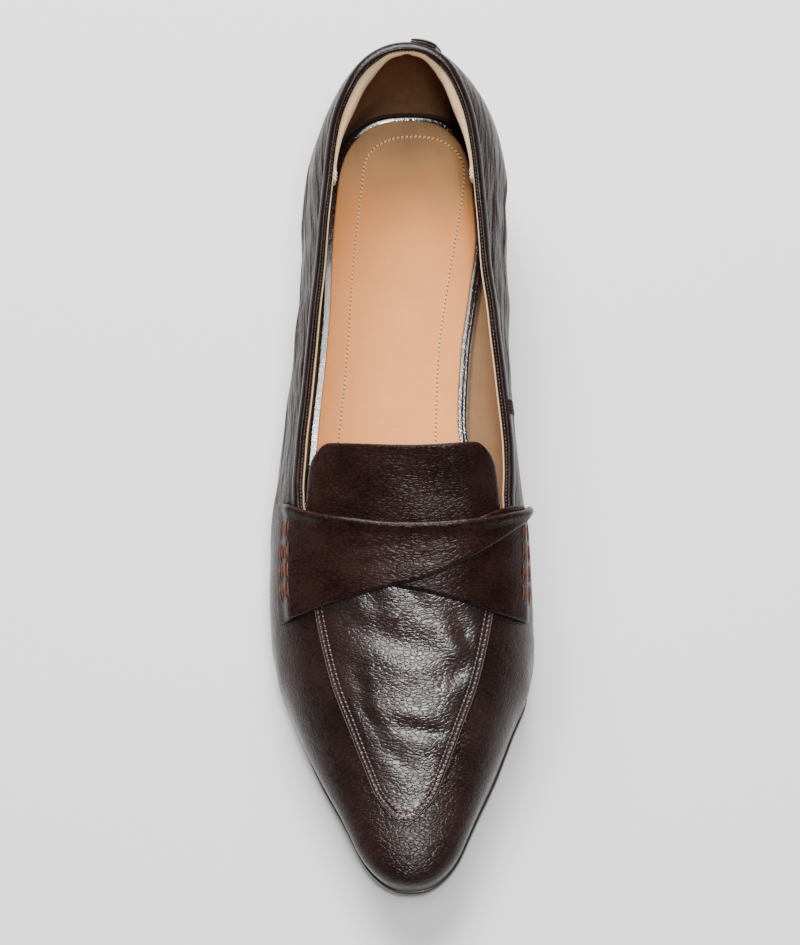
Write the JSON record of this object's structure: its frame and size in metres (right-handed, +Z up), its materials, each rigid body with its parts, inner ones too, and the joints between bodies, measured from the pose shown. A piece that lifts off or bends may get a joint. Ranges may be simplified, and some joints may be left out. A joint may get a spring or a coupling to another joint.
{
  "type": "block heel loafer",
  "caption": "Slip-on loafer with a pointed toe, crossed strap, stitched apron, free tongue, rolled topline, padded insole and a low block heel, in dark brown grained leather.",
  "frame": {"origin": "centre of the shoe's footprint box, on the floor", "axes": "+Z up, toe towards -Y, heel towards +Y, medial side towards +X"},
  "size_m": [0.0824, 0.2604, 0.0829],
  "materials": {
    "brown_leather": "glossy fine-grained leather, dark brown",
    "binding_leather": "smooth polished leather, near-black brown",
    "tan_leather": "smooth tan lining leather",
    "sole_rubber": "matt dark rubber",
    "heel_stack": "leather-covered heel block"
  },
  "bodies": {
    "root": {"outsole": "sole_rubber", "heel_block": "heel_stack", "heel_top_lift": "sole_rubber", "upper": "brown_leather", "footbed": "binding_leather", "sock_lining": "tan_leather", "vamp_apron": "brown_leather", "tongue": "brown_leather", "strap_under": "brown_leather", "strap_over": "brown_leather", "topline_binding": "binding_leather", "heel_tab": "brown_leather"}
  },
  "joints": []
}
